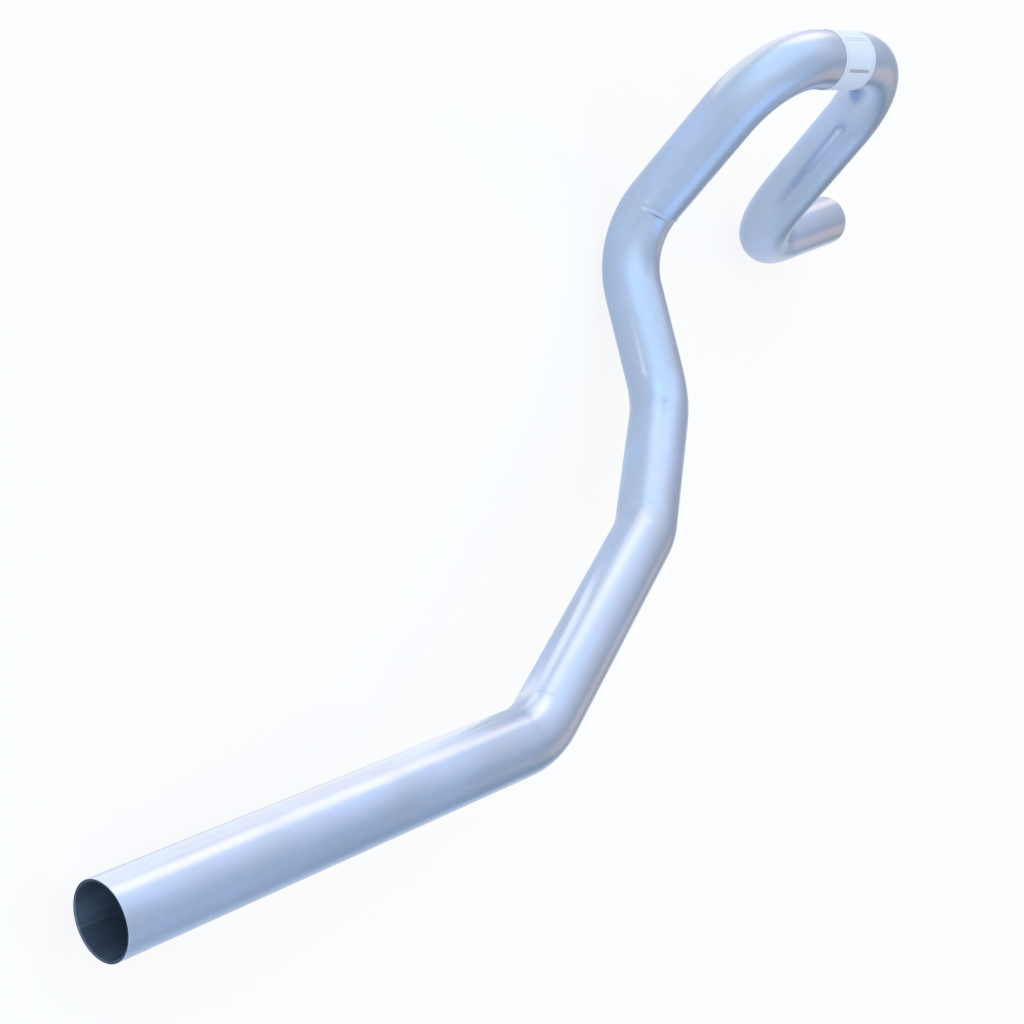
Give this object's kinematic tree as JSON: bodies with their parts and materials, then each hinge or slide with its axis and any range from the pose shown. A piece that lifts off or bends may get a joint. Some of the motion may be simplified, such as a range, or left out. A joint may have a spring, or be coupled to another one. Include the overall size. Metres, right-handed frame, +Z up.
{
  "type": "exhaust tail pipe",
  "caption": "Exhaust tail pipe: a round steel tube with plain square-cut ends, bent into a long run, an arch that clears an axle and a short far end, with a blank label round the arch.",
  "frame": {"origin": "centre of the near opening, the end of the long straight", "axes": "+X along the floor, the way the long straight runs from its opening; +Z up from the floor that the pipe lies on; +Y to the left, the side that the arch is on"},
  "size_m": [1.1745, 0.5304, 0.2184],
  "materials": {
    "aluminised_steel": "satin, a thin aluminium coat on steel",
    "label_paper": "matt coated paper"
  },
  "bodies": {
    "root": {"tail_pipe": "aluminised_steel", "paper_label": "label_paper"}
  },
  "joints": []
}
